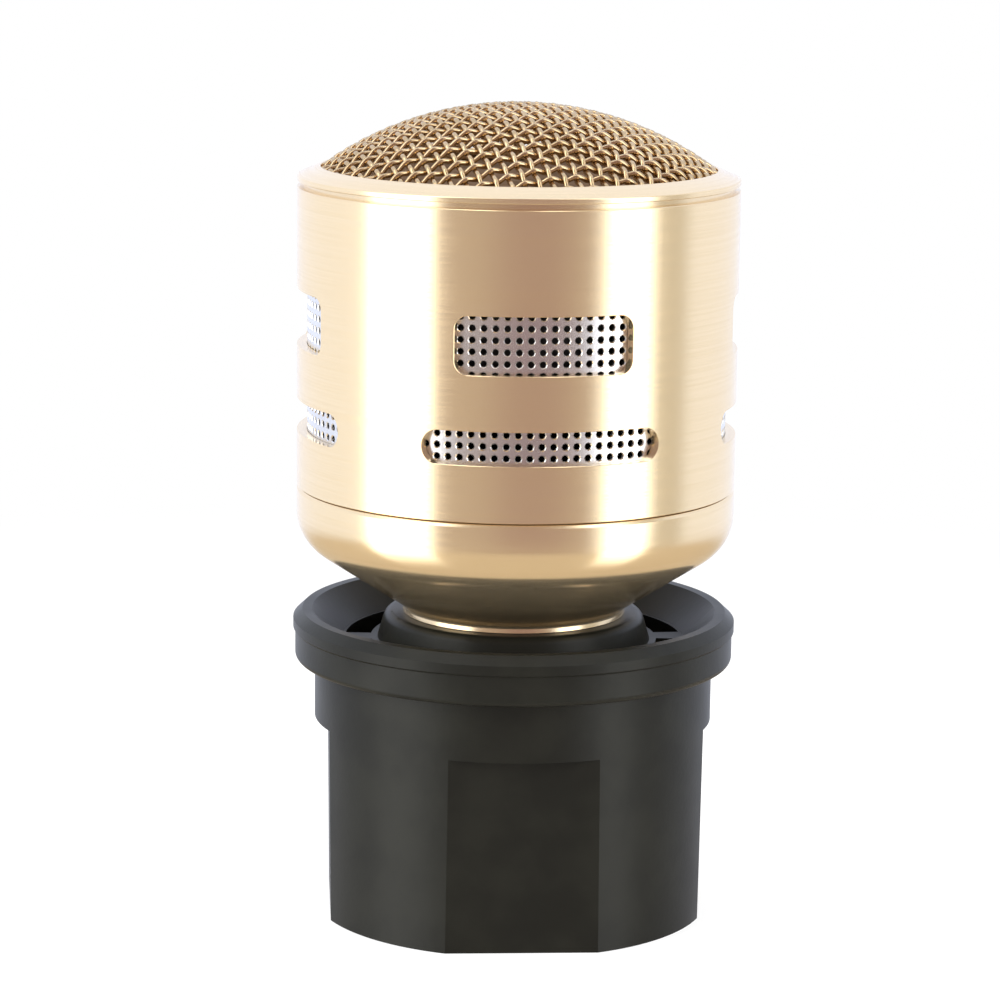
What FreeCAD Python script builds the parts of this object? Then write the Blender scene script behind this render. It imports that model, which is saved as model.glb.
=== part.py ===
import FreeCAD, Part
import math
import os
import Sketcher

# Dynamic microphone capsule on its moulded shock mount, in millimetres.
# The axis is Z. The origin is the centre of the mount's bottom face.

SIZES = {
    # shock mount, one moulding: its plug seats in the handle
    "plug_inset": 1.4,            # from the housing's wall in to the plug's
    "plug_wall": 2.2,
    "plug_draft": 0.1,            # how far the plug narrows below its seating band
    "plug_length": 19.2,          # from the bottom up to the flange's seat
    "flange_overhang": 1.5,       # how far the flange stands out from the plug
    "flange_height": 2.25,        # up to the foot of the bead
    "flange_edge": 0.45,          # rounding of the flange's and the bead's edges
    "bead_proud": 0.15,           # how far the bead stands out from the flange
    "bead_height": 0.85,
    "rim_bevel_height": 0.65,
    "rim_bevel_width": 0.7,
    "rim_width": 0.75,            # narrow flat on top of the rim
    "moat_depth": 2.2,
    "moat_slope": 2.3,            # how far the moat's outer wall leans in
    "web_height": 1.85,           # thickness of the web that carries the capsule
    "collar_inset": 4.75,         # from the plug's wall in to the collar's foot
    "collar_height": 2.05,
    "collar_draft": 0.6,
    "collar_edge": 0.7,           # rounding of the collar's top
    "flat_depth": 1.05,           # how deep a flat cuts the plug at its step
    "flat_draft": 0.15,
    "flat_step": 4.5,             # height of the seating band between flats and flange
    "flat_count": 4,
    "vent_inner_land": 0.5,       # web between the collar and a vent
    "vent_outer_land": 0.2,       # web between a vent and the moat's wall
    "vent_web": 10.4,             # degrees left standing between two vents
    "vent_count": 4,
    # lower cup, one turning
    "housing_radius": 16.5,
    "collar_ledge": 1.45,         # from the collar's rounded mouth in to the neck
    "neck_shoulder": 1.3,         # shoulder that rests on the collar
    "spigot_wall": 1.4,
    "neck_reveal": 0.5,           # height of neck between the collar and the cone
    "neck_fillet": 0.7,
    "cone_rise": 5.34,            # from the neck to where the cone would meet the wall
    "cup_corner": 3.6,            # radius between the cone and the wall
    "cup_side": 3.89,             # from where they would meet up to the shoulder
    "cup_bevel": 0.24,            # height of the bevel along the shoulder
    "cup_bevel_depth": 0.16,
    "cup_wall": 1.8,
    "cup_floor": 1.45,            # height of metal above the cone
    "joint_spigot": 2.7,          # how far the cup reaches into the shell
    "gasket_height": 0.12,
    "gasket_inset": 0.45,
    # slotted shell
    "shell_height": 22.35,
    "shell_wall": 0.75,
    "shell_chamfer": 0.12,
    "slot_columns": 4,
    "slot_clocking": 3.4,         # degrees from the mount's flats to the slots
    "upper_slot_width": 12.78,
    "upper_slot_height": 4.24,
    "upper_slot_rise": 12.72,     # from the shell's bottom to the slot's middle
    "upper_slot_corner": 1.0,
    "lower_slot_width": 17.1,
    "lower_slot_height": 2.46,
    "lower_slot_rise": 5.36,
    # perforated sleeve behind the slots
    "sleeve_wall": 0.35,
    "hole_side": 1.05,
    "hole_turn": 6.5,             # degrees from one column of holes to the next
    "hole_rise": 1.75,            # height from one row to the next
    "upper_hole_columns": 7,
    "upper_hole_rows": 2,
    "lower_hole_columns": 9,
    "lower_hole_rows": 1,
    # front ring and wire dome
    "ring_groove": 0.44,          # width of the shadow groove under the ring
    "ring_groove_depth": 0.5,
    "ring_land": 0.39,
    "ring_bevel": 0.72,
    "ring_wall": 0.37,
    "ring_overhang": 0.6,         # how far the lip reaches in over the dome's rim
    "ring_lip": 0.45,             # thickness of the bevel's inner edge
    "dome_clearance": 0.1,
    "dome_rise": 4.75,
    "dome_wire": 0.4,             # thickness of one layer of the weave
    "dome_overlap": 0.1,          # how far the two layers are pressed into each other
    "dome_rim_height": 0.55,
    "weave_ridge": 1.2,
    "weave_count": 9,
    "weave_turn": 14.0,
    # screen, cap and diaphragm under the dome
    "stack_clearance": 0.05,      # round the discs in the ring's bore
    "foam_height": 0.6,
    "cap_height": 1.2,
    "cap_plate": 0.8,
    "cap_hole_radius": 1.3,
    "cap_hole_circle": 8.6,
    "cap_hole_count": 8,
    "clamp_height": 0.4,
    "clamp_width": 1.5,
    "film": 0.15,
    "film_seat_width": 1.7,
    "film_rise": 0.6,
    "film_roll": 0.3,
    # motor
    "motor_drop": 2.2,            # from the film's seat down to the motor's top
    "coil_gap": 0.15,             # air on each side of the coil
    "coil_wall": 0.3,
    "coil_length": 3.6,
    "pole_height": 3.0,
    "motor_bore": 1.6,
    "magnet_inset": 0.4,          # from the pole piece's edge in to the magnet
    "magnet_height": 4.3,
    "plate_width": 2.8,
    "plate_height": 1.6,
    "yoke_wall": 1.5,
    "yoke_floor": 2.0,
    # moulded frame that carries the motor
    "rear_passage": 3.49,         # air between the frame's barrel and the sleeve
    "frame_flange": 1.6,
    "frame_dish": 1.0,            # depth of the recess under the film
    "frame_wall": 1.2,
    "frame_lip": 1.2,
    "frame_ledge": 2.0,           # ledge under the yoke
    "port_radius": 0.6,
    "port_inset": 0.67,           # from the barrel out to the middle of a port
    "port_count": 8,
    "felt_height": 0.6,
    "felt_inset": 1.12,
    "fit": 0.03,                  # radial clearance of turned and moulded fits
    # rear of the capsule, inside the mount's plug
    "nut_wall": 2.6,
    "nut_height": 1.6,
    "chamber_shoulder": 2.4,      # from the neck's spigot out to the chamber's side
    "chamber_wall": 1.0,
    "chamber_roof": 1.3,
    "chamber_height": 8.7,
    "board_height": 1.2,
    "board_ledge": 0.5,
    "wad_room": 1.8,              # from the middle of a lug out to the wad's bore
    "wad_gap": 0.4,
    # terminals and leads
    "lug_inset": 2.4,             # from the neck's bore in to the middle of a lug
    "lug_width": 2.0,
    "lug_sheet": 0.5,
    "lug_above": 0.9,
    "lug_below": 4.0,
    "lug_hole": 0.55,
    "tag_width": 1.8,
    "tag_sheet": 0.4,
    "tag_height": 3.0,
    "tag_rise": 1.5,              # from the frame's foot up to the tag
    "lead_radius": 0.35,
    "lead_bend": 3.0,
    "lead_turn_high": 8.2,        # heights of the lead's two turns above the neck
    "lead_turn_low": 2.2,
    "overrun": 1.0,               # how far a cutting outline runs past the piece
}

doc = FreeCAD.newDocument("MicrophoneCapsule")
sheet = doc.addObject("Spreadsheet::Sheet", "Sizes")
for row, (alias, value) in enumerate(SIZES.items(), start=1):
    sheet.set(f"A{row}", alias)
    sheet.set(f"B{row}", str(value))
    sheet.setAlias(f"B{row}", alias)
doc.recompute()


class Size:
    """A length with both its number and the sheet expression that gives it."""

    def __init__(self, number, text):
        self.number = number
        self.text = text

    @staticmethod
    def of(other):
        return other if isinstance(other, Size) else Size(other, repr(other))

    def __add__(self, other):
        other = Size.of(other)
        return Size(self.number + other.number, f"({self.text} + {other.text})")

    def __sub__(self, other):
        other = Size.of(other)
        return Size(self.number - other.number, f"({self.text} - {other.text})")

    def __mul__(self, other):
        other = Size.of(other)
        return Size(self.number * other.number, f"({self.text} * {other.text})")

    def __truediv__(self, other):
        other = Size.of(other)
        return Size(self.number / other.number, f"({self.text} / {other.text})")

    def __neg__(self):
        return Size(-self.number, f"(0 - {self.text})")


def size(alias):
    return Size(SIZES[alias], f"Sizes.{alias}")


parts = {}


def keep(label, result):
    result.Label = label
    parts[label] = result
    return result


def datum(body, role):
    """One of the body's own origin planes or axes."""
    return next(p for p in body.Origin.OriginFeatures if p.Role == role)


def new_sketch(body, name, role):
    sketch = body.newObject("Sketcher::SketchObject", name)
    sketch.AttachmentSupport = [(datum(body, role), "")]
    sketch.MapMode = "FlatFace"
    return sketch


def bind(sketch, kind, geometry, vertex, value):
    """Measure a vertex from the sketch's origin and tie it to the sheet."""
    index = sketch.addConstraint(Sketcher.Constraint(kind, -1, 1, geometry, vertex, value.number))
    sketch.setExpression(f"Constraints[{index}]", value.text)


def pin(sketch, geometry, vertex, x, y):
    """Fix a vertex by its two distances, or on an axis where a distance is nothing."""
    for kind, axis, value in (("DistanceX", -2, x), ("DistanceY", -1, y)):
        if value.number == 0:
            sketch.addConstraint(Sketcher.Constraint("PointOnObject", geometry, vertex, axis))
        else:
            bind(sketch, kind, geometry, vertex, value)


def bind_radius(sketch, geometry, radius):
    index = sketch.addConstraint(Sketcher.Constraint("Radius", geometry, radius.number))
    sketch.setExpression(f"Constraints[{index}]", radius.text)


def corner_arc(before, here, after, radius):
    """The arc that rounds a corner, and where it leaves the corner's two sides."""
    back, ahead = (before - here).normalize(), (after - here).normalize()
    half = back.getAngle(ahead) / 2
    centre = here + (back + ahead).normalize() * (radius / math.sin(half))
    ends = [here + back * (radius / math.tan(half)), here + ahead * (radius / math.tan(half))]
    angles = [math.atan2(end.y - centre.y, end.x - centre.x) for end in ends]
    turns_left = back.cross(ahead).z < 0
    start, stop = angles if turns_left else angles[::-1]
    ring = Part.Circle(centre, FreeCAD.Vector(0, 0, 1), radius)
    arc = Part.ArcOfCircle(ring, start, stop if stop > start else stop + 2 * math.pi)
    return arc, ends, (1, 2) if turns_left else (2, 1)


def outline(sketch, corners):
    """Draw a closed outline. A corner is (x, y), or (x, y, radius) where it is rounded."""
    corners = [[Size.of(value) for value in corner] for corner in corners]
    points = [FreeCAD.Vector(corner[0].number, corner[1].number, 0) for corner in corners]
    count = len(corners)
    arcs = {}
    for index, corner in enumerate(corners):
        if len(corner) == 3:
            arcs[index] = corner_arc(points[index - 1], points[index],
                                     points[(index + 1) % count], corner[2].number)
    sides = []
    for index in range(count):
        after = (index + 1) % count
        start = arcs[index][1][1] if index in arcs else points[index]
        end = arcs[after][1][0] if after in arcs else points[after]
        sides.append(sketch.addGeometry(Part.LineSegment(start, end), False))
    for index, corner in enumerate(corners):
        before, after = sides[index - 1], sides[index]
        if index not in arcs:
            sketch.addConstraint(Sketcher.Constraint("Coincident", before, 2, after, 1))
            pin(sketch, after, 1, corner[0], corner[1])
            continue
        arc, _, (entry, leave) = arcs[index]
        arc = sketch.addGeometry(arc, False)
        point = sketch.addGeometry(Part.Point(points[index]), True)
        sketch.addConstraint(Sketcher.Constraint("Tangent", before, 2, arc, entry))
        sketch.addConstraint(Sketcher.Constraint("Tangent", arc, leave, after, 1))
        sketch.addConstraint(Sketcher.Constraint("PointOnObject", point, 1, before))
        sketch.addConstraint(Sketcher.Constraint("PointOnObject", point, 1, after))
        bind_radius(sketch, arc, corner[2])
        pin(sketch, point, 1, corner[0], corner[1])


def circle(sketch, x, y, radius):
    x, y = Size.of(x), Size.of(y)
    middle = FreeCAD.Vector(x.number, y.number, 0)
    ring = Part.Circle(middle, FreeCAD.Vector(0, 0, 1), radius.number)
    index = sketch.addGeometry(ring, False)
    bind_radius(sketch, index, radius)
    pin(sketch, index, 3, x, y)


def turned(label, corners):
    """A turned or moulded round piece, from its half section (radius, height)."""
    body = doc.addObject("PartDesign::Body", label + "_body")
    sketch = new_sketch(body, label + "_section", "XZ_Plane")
    outline(sketch, corners)
    revolution = body.newObject("PartDesign::Revolution", label + "_turning")
    revolution.Profile = sketch
    revolution.ReferenceAxis = (sketch, ["V_Axis"])
    revolution.Angle = 360
    body.Tip = revolution
    doc.recompute()
    return keep(label, body)


def pocket(body, name, sketch, length=None, symmetric=False, reverse=False):
    before = body.Tip.Shape.Volume
    feature = body.newObject("PartDesign::Pocket", name)
    feature.Profile = sketch
    if length is None:
        feature.Type = "ThroughAll"
    else:
        feature.Type = "Length"
        feature.setExpression("Length", length.text)
    feature.Midplane = symmetric
    feature.Reversed = reverse
    body.Tip = feature
    doc.recompute()
    if not feature.Shape.Volume < before - 1e-6:
        raise RuntimeError(name + " cuts nothing")
    return feature


def pattern(body, name, originals, count):
    feature = body.newObject("PartDesign::PolarPattern", name)
    feature.Originals = originals
    feature.Axis = (datum(body, "Z_Axis"), [""])
    feature.Angle = 360
    feature.setExpression("Occurrences", count.text)
    body.Tip = feature
    doc.recompute()
    return feature


def primitive(kind, name, **lengths):
    solid = doc.addObject("Part::" + kind, name)
    for prop, value in lengths.items():
        solid.setExpression(prop, Size.of(value).text)
    return solid


def place(solid, **where):
    for axis, value in where.items():
        solid.setExpression("Placement.Base." + axis, Size.of(value).text)
    return solid


def cut(name, base, tool):
    result = doc.addObject("Part::Cut", name)
    result.Base, result.Tool = base, tool
    return result


def common(name, base, tool):
    result = doc.addObject("Part::Common", name)
    result.Base, result.Tool = base, tool
    return result


def fuse(name, solids):
    result = doc.addObject("Part::MultiFuse", name)
    result.Shapes = solids
    return result


def clock(solid, angle):
    """Turn a finished piece about the axis, as it was screwed together."""
    turn = FreeCAD.Rotation(FreeCAD.Vector(0, 0, 1), angle.number)
    solid.Placement = FreeCAD.Placement(FreeCAD.Vector(0, 0, 0), turn)
    solid.setExpression("Placement.Rotation.Angle", angle.text)


# Radii that the pieces share, all taken from the housing's wall
fit = size("fit")
overrun = size("overrun")
housing = size("housing_radius")
plug_radius = housing - size("plug_inset")
plug_hollow = plug_radius - size("plug_wall")
flange_radius = plug_radius + size("flange_overhang")
bead_radius = flange_radius + size("bead_proud")
rim_land = bead_radius - size("rim_bevel_width")
rim_mouth = rim_land - size("rim_width")
moat_foot = rim_mouth - size("moat_slope")
collar_foot = plug_radius - size("collar_inset")
collar_mouth = collar_foot - size("collar_draft")
neck_radius = collar_mouth - size("collar_ledge")
spigot_radius = neck_radius - size("neck_shoulder")
spigot_bore = spigot_radius + fit
neck_bore = spigot_radius - size("spigot_wall")
chamber_radius = spigot_radius + size("chamber_shoulder")
chamber_bore = chamber_radius - size("chamber_wall")
board_radius = chamber_bore + size("board_ledge")
lug_place = neck_bore - size("lug_inset")

shell_bore = housing - size("shell_wall")
inside_shell = shell_bore - fit
ring_bore = inside_shell - size("ring_wall")
ring_mouth = ring_bore - size("ring_overhang")
dome_radius = ring_mouth - size("dome_clearance")
disc_radius = ring_bore - size("stack_clearance")
film_radius = disc_radius - size("film_seat_width")
frame_radius = inside_shell - size("rear_passage")
frame_bore = frame_radius - size("frame_wall")
yoke_radius = frame_bore - fit
gap_radius = yoke_radius - size("plate_width")
coil_outer = gap_radius - size("coil_gap")
coil_inner = coil_outer - size("coil_wall")
pole_radius = coil_inner - size("coil_gap")

# Heights, from the mount's foot up to the ring, and from the ring down to the motor
flange_bottom = size("plug_length")
bead_bottom = flange_bottom + size("flange_height")
bead_top = bead_bottom + size("bead_height")
rim_top = bead_top + size("rim_bevel_height")
moat_floor = rim_top - size("moat_depth")
web_bottom = moat_floor - size("web_height")
collar_top = moat_floor + size("collar_height")
neck_top = collar_top + size("neck_reveal")
cone_top = neck_top + size("cone_rise")
cup_top = cone_top + size("cup_side")
shell_bottom = cup_top + size("gasket_height")
cup_spigot_top = shell_bottom + size("joint_spigot")
shell_top = shell_bottom + size("shell_height")
lower_slot_middle = shell_bottom + size("lower_slot_rise")
upper_slot_middle = shell_bottom + size("upper_slot_rise")
ring_land_bottom = shell_top + size("ring_groove")
ring_top = ring_land_bottom + size("ring_land") + size("ring_bevel")
lip_bottom = ring_top - size("ring_lip")
dome_foot = lip_bottom - size("dome_rim_height")
foam_bottom = dome_foot - size("foam_height")
cap_bottom = foam_bottom - size("cap_height")
clamp_bottom = cap_bottom - size("clamp_height")
film_seat = clamp_bottom - size("film")
sleeve_top = film_seat - size("frame_flange")
motor_top = film_seat - size("motor_drop")
yoke_top = motor_top - size("plate_height")
magnet_top = motor_top - size("pole_height")
magnet_bottom = magnet_top - size("magnet_height")
yoke_bottom = magnet_bottom - size("yoke_floor")
frame_foot = yoke_bottom - size("frame_lip")
nut_bottom = web_bottom - size("nut_height")
roof_bottom = nut_bottom - size("chamber_roof")
chamber_bottom = nut_bottom - size("chamber_height")
board_top = chamber_bottom + size("board_height")
tag_bottom = frame_foot + size("tag_rise")


def shock_mount():
    edge = size("flange_edge")
    step = flange_bottom - size("flat_step")
    body = turned("shock_mount", [
        (spigot_bore, web_bottom),
        (plug_hollow, web_bottom),
        (plug_hollow, 0),
        (plug_radius - size("plug_draft"), 0),
        (plug_radius, step),
        (plug_radius, flange_bottom),
        (flange_radius, flange_bottom, edge),
        (flange_radius, bead_bottom),
        (bead_radius, bead_bottom + size("bead_proud")),
        (bead_radius, bead_top),
        (rim_land, rim_top),
        (rim_mouth, rim_top),
        (moat_foot, moat_floor),
        (collar_foot, moat_floor),
        (collar_mouth, collar_top, size("collar_edge")),
        (spigot_bore, collar_top),
    ])

    upper = plug_radius - size("flat_depth")
    beyond = plug_radius + overrun
    flat = new_sketch(body, "flat_section", "XZ_Plane")
    outline(flat, [
        (upper - size("flat_draft"), -overrun),
        (upper - size("flat_draft"), 0),
        (upper, step),
        (beyond, step),
        (beyond, -overrun),
    ])
    first_flat = pocket(body, "flat", flat, length=plug_radius * 2, symmetric=True)
    pattern(body, "flats", [first_flat], size("flat_count"))

    vent = new_sketch(body, "vent_outline", "XY_Plane")
    kidney(vent, collar_foot + size("vent_inner_land"), moat_foot - size("vent_outer_land"),
           size("vent_web"), size("vent_count"))
    first_vent = pocket(body, "vent", vent, reverse=True)
    pattern(body, "vents", [first_vent], size("vent_count"))


def kidney(sketch, inner, outer, web, count):
    """A kidney between two arcs about the axis, between two webs."""
    low = web / 2
    high = Size(360, "360") / count - web / 2
    start, end = math.radians(low.number), math.radians(high.number)
    origin, up = FreeCAD.Vector(0, 0, 0), FreeCAD.Vector(0, 0, 1)
    for radius in (inner, outer):
        ring = Part.Circle(origin, up, radius.number)
        index = sketch.addGeometry(Part.ArcOfCircle(ring, start, end), False)
        sketch.addConstraint(Sketcher.Constraint("Coincident", index, 3, -1, 1))
        bind_radius(sketch, index, radius)
    for vertex, angle, value in ((1, start, low), (2, end, high)):
        near = FreeCAD.Vector(math.cos(angle), math.sin(angle), 0) * inner.number
        far = FreeCAD.Vector(math.cos(angle), math.sin(angle), 0) * outer.number
        index = sketch.addGeometry(Part.LineSegment(near, far), False)
        sketch.addConstraint(Sketcher.Constraint("Coincident", index, 1, 0, vertex))
        sketch.addConstraint(Sketcher.Constraint("Coincident", index, 2, 1, vertex))
        sketch.addConstraint(Sketcher.Constraint("PointOnObject", -1, 1, index))
        bound = sketch.addConstraint(Sketcher.Constraint("Angle", -1, 1, index, 1, angle))
        sketch.setExpression(f"Constraints[{bound}]", value.text)


def lower_cup():
    slope = size("cone_rise") / (housing - neck_radius)
    bowl = housing - size("cup_wall")
    inner_foot = neck_top + size("cup_floor") - neck_radius * slope
    turned("lower_cup", [
        (neck_bore, roof_bottom),
        (spigot_radius, roof_bottom),
        (spigot_radius, collar_top),
        (neck_radius, collar_top),
        (neck_radius, neck_top, size("neck_fillet")),
        (housing, cone_top, size("cup_corner")),
        (housing, cup_top - size("cup_bevel")),
        (housing - size("cup_bevel_depth"), cup_top),
        (inside_shell, cup_top),
        (inside_shell, cup_spigot_top),
        (bowl, cup_spigot_top),
        (bowl, inner_foot + bowl * slope),
        (neck_bore, inner_foot + neck_bore * slope),
    ])


def housing_gasket():
    outside = housing - size("gasket_inset")
    turned("housing_gasket", [
        (shell_bore, cup_top),
        (outside, cup_top),
        (outside, shell_bottom),
        (shell_bore, shell_bottom),
    ])


def slot_outline(sketch, width, height, middle, corner):
    """A slot with rounded corners, centred on the sketch's upright axis."""
    half, low, high = width / 2, middle - height / 2, middle + height / 2
    right, top, bottom, radius = half.number, high.number, low.number, corner.number
    quarter = math.pi / 2
    up = FreeCAD.Vector(0, 0, 1)
    centres = [(right - radius, bottom + radius), (right - radius, top - radius),
               (radius - right, top - radius), (radius - right, bottom + radius)]
    arcs = []
    for turn, (x, y) in enumerate(centres):
        ring = Part.Circle(FreeCAD.Vector(x, y, 0), up, radius)
        start = (turn - 1) * quarter
        arcs.append(sketch.addGeometry(Part.ArcOfCircle(ring, start, start + quarter), False))
    sides = []
    for turn in range(4):
        start = sketch.Geometry[arcs[turn - 1]].EndPoint
        end = sketch.Geometry[arcs[turn]].StartPoint
        sides.append(sketch.addGeometry(Part.LineSegment(start, end), False))
    for turn in range(4):
        sketch.addConstraint(Sketcher.Constraint("Tangent", arcs[turn - 1], 2, sides[turn], 1))
        sketch.addConstraint(Sketcher.Constraint("Tangent", sides[turn], 2, arcs[turn], 1))
        if turn:
            sketch.addConstraint(Sketcher.Constraint("Equal", arcs[0], arcs[turn]))
    sketch.addConstraint(Sketcher.Constraint("Horizontal", sides[0]))
    sketch.addConstraint(Sketcher.Constraint("Vertical", sides[1]))
    bind_radius(sketch, arcs[0], corner)
    bind(sketch, "DistanceX", sides[1], 1, half)
    bind(sketch, "DistanceX", sides[3], 1, -half)
    bind(sketch, "DistanceY", sides[0], 1, low)
    bind(sketch, "DistanceY", sides[2], 1, high)


def full_round_outline(sketch, width, height, middle):
    """A slot whose ends are full half circles."""
    radius = height / 2
    reach = width / 2 - radius
    centre, up = FreeCAD.Vector(reach.number, middle.number, 0), FreeCAD.Vector(0, 0, 1)
    other = FreeCAD.Vector(-reach.number, middle.number, 0)
    quarter = math.pi / 2
    right = Part.ArcOfCircle(Part.Circle(centre, up, radius.number), -quarter, quarter)
    left = Part.ArcOfCircle(Part.Circle(other, up, radius.number), quarter, 3 * quarter)
    arcs = [sketch.addGeometry(right, False), sketch.addGeometry(left, False)]
    for turn, arc in enumerate(arcs):
        start = sketch.Geometry[arc].EndPoint
        end = sketch.Geometry[arcs[1 - turn]].StartPoint
        side = sketch.addGeometry(Part.LineSegment(start, end), False)
        sketch.addConstraint(Sketcher.Constraint("Tangent", arc, 2, side, 1))
        sketch.addConstraint(Sketcher.Constraint("Tangent", side, 2, arcs[1 - turn], 1))
    bind_radius(sketch, arcs[0], radius)
    bind(sketch, "DistanceX", arcs[0], 3, reach)
    bind(sketch, "DistanceX", arcs[1], 3, -reach)
    bind(sketch, "DistanceY", arcs[0], 3, middle)
    bind(sketch, "DistanceY", arcs[1], 3, middle)


def slotted_shell():
    bevel = size("shell_chamfer")
    body = turned("slotted_shell", [
        (shell_bore, shell_bottom),
        (housing - bevel, shell_bottom),
        (housing, shell_bottom + bevel),
        (housing, shell_top - bevel),
        (housing - bevel, shell_top),
        (shell_bore, shell_top),
    ])
    upper = new_sketch(body, "upper_slot_outline", "XZ_Plane")
    slot_outline(upper, size("upper_slot_width"), size("upper_slot_height"),
                 upper_slot_middle, size("upper_slot_corner"))
    upper_slot = pocket(body, "upper_slot", upper)
    lower = new_sketch(body, "lower_slot_outline", "XZ_Plane")
    full_round_outline(lower, size("lower_slot_width"), size("lower_slot_height"),
                       lower_slot_middle)
    lower_slot = pocket(body, "lower_slot", lower)
    pattern(body, "slot_columns", [upper_slot, lower_slot], size("slot_columns"))
    clock(body, size("slot_clocking"))


def hole_rows(name, middle, columns, rows):
    """Square punches for the sheet, in rows and columns behind each slot."""
    side, turn = size("hole_side"), size("hole_turn").number
    near = inside_shell - size("sleeve_wall") * 2
    punches = []
    windows = int(size("slot_columns").number)
    for window in range(windows):
        for column in range(int(columns.number)):
            step = column - (columns.number - 1) / 2
            angle = size("slot_clocking").number - 90 + window * 360 / windows + step * turn
            swing = FreeCAD.Rotation(FreeCAD.Vector(0, 0, 1), angle)
            corner = swing.multVec(FreeCAD.Vector(near.number, -side.number / 2, 0))
            for line in range(int(rows.number)):
                rise = size("hole_rise") * (Size.of(line) - (rows - 1) / 2)
                punch = primitive("Box", f"{name}_punch_{window}_{column}_{line}",
                                  Length=size("sleeve_wall") * 3, Width=side, Height=side)
                punch.Placement = FreeCAD.Placement(corner, swing)
                place(punch, z=middle + rise - side / 2)
                punches.append(punch)
    return punches


def perforated_sleeve():
    height = sleeve_top - cup_spigot_top
    tube = primitive("Cylinder", "sleeve_tube", Radius=inside_shell, Height=height)
    hollow = primitive("Cylinder", "sleeve_hollow", Height=height,
                       Radius=inside_shell - size("sleeve_wall"))
    punches = doc.addObject("Part::Compound", "sleeve_punches")
    punches.Links = hole_rows("upper", upper_slot_middle, size("upper_hole_columns"),
                              size("upper_hole_rows"))
    punches.Links += hole_rows("lower", lower_slot_middle, size("lower_hole_columns"),
                               size("lower_hole_rows"))
    for solid in (tube, hollow):
        place(solid, z=cup_spigot_top)
    keep("perforated_sleeve", cut("sleeve_sheet", cut("sleeve_roll", tube, hollow), punches))


def front_ring():
    root = housing - size("ring_groove_depth")
    turned("front_ring", [
        (ring_bore, film_seat),
        (inside_shell, film_seat),
        (inside_shell, shell_top),
        (root, shell_top),
        (root, ring_land_bottom),
        (housing, ring_land_bottom),
        (housing, ring_land_bottom + size("ring_land")),
        (ring_mouth, ring_top),
        (ring_mouth, lip_bottom),
        (ring_bore, lip_bottom),
    ])


def weave_layer(name, outside, inside, centre, across):
    """One layer of crossed ridges: a thin cap with long parallel gaps."""
    ball = place(primitive("Sphere", name + "_ball", Radius=outside), z=centre)
    core = place(primitive("Sphere", name + "_core", Radius=inside), z=centre)
    tall = size("dome_rise") + size("dome_rim_height")
    puck = primitive("Cylinder", name + "_puck", Radius=dome_radius, Height=tall)
    place(puck, z=lip_bottom)
    cap = common(name + "_cap", cut(name + "_skin", ball, core), puck)
    gaps = []
    length = dome_radius * 2
    pitch = length / size("weave_count")
    width = pitch - size("weave_ridge")
    for number in range(int(size("weave_count").number)):
        start = pitch * number - dome_radius + size("weave_ridge") / 2
        gap = primitive("Box", f"{name}_gap_{number}", Height=tall,
                        Length=width if across else length, Width=length if across else width)
        place(gap, x=start if across else -dome_radius, y=-dome_radius if across else start,
              z=lip_bottom)
        gaps.append(gap)
    return cut(name + "_layer", cap, fuse(name + "_gaps", gaps))


def wire_mesh_dome():
    rise = size("dome_rise")
    ball = (dome_radius * dome_radius + rise * rise) / (rise * 2)
    centre = ring_top + rise - ball
    wire, overlap = size("dome_wire"), size("dome_overlap")
    outer = weave_layer("weft", ball, ball - wire, centre, True)
    inner_ball = ball - wire + overlap
    inner = weave_layer("warp", inner_ball, inner_ball - wire, centre, False)
    hoop = dome_radius - wire * 2 + overlap
    skirt_height = ring_top - dome_foot
    flange = primitive("Cylinder", "dome_flange", Radius=disc_radius,
                       Height=size("dome_rim_height"))
    skirt = primitive("Cylinder", "dome_skirt", Radius=dome_radius, Height=skirt_height)
    hollow = primitive("Cylinder", "dome_hollow", Radius=hoop, Height=skirt_height)
    for piece in (flange, skirt, hollow):
        place(piece, z=dome_foot)
    rim = cut("dome_rim", fuse("dome_rim_solid", [flange, skirt]), hollow)
    dome = fuse("dome_weave", [outer, inner, rim])
    doc.recompute()
    clock(dome, size("weave_turn"))
    keep("wire_mesh_dome", dome)


def disc(label, bottom, height, outer, inner=None):
    near = Size.of(0) if inner is None else inner
    return turned(label, [
        (near, bottom),
        (outer, bottom),
        (outer, bottom + height),
        (near, bottom + height),
    ])


def resonator_cap():
    under = foam_bottom - size("cap_plate")
    body = turned("resonator_cap", [
        (0, under),
        (film_radius, under),
        (film_radius, cap_bottom),
        (disc_radius, cap_bottom),
        (disc_radius, foam_bottom),
        (0, foam_bottom),
    ])
    middle = new_sketch(body, "cap_middle_hole", "XY_Plane")
    circle(middle, 0, 0, size("cap_hole_radius"))
    pocket(body, "cap_middle", middle, reverse=True)
    outer = new_sketch(body, "cap_outer_hole", "XY_Plane")
    circle(outer, size("cap_hole_circle"), 0, size("cap_hole_radius"))
    first = pocket(body, "cap_outer", outer, reverse=True)
    pattern(body, "cap_holes", [first], size("cap_hole_count"))


def diaphragm():
    under = [
        (Size.of(0), size("film_rise")),
        (coil_outer, Size.of(0)),
        ((coil_outer + film_radius) / 2, size("film_roll")),
        (film_radius, Size.of(0)),
        (disc_radius, Size.of(0)),
    ]
    lower = [(radius, film_seat + height) for radius, height in under]
    upper = [(radius, height + size("film")) for radius, height in reversed(lower)]
    turned("diaphragm", lower + upper)


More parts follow.
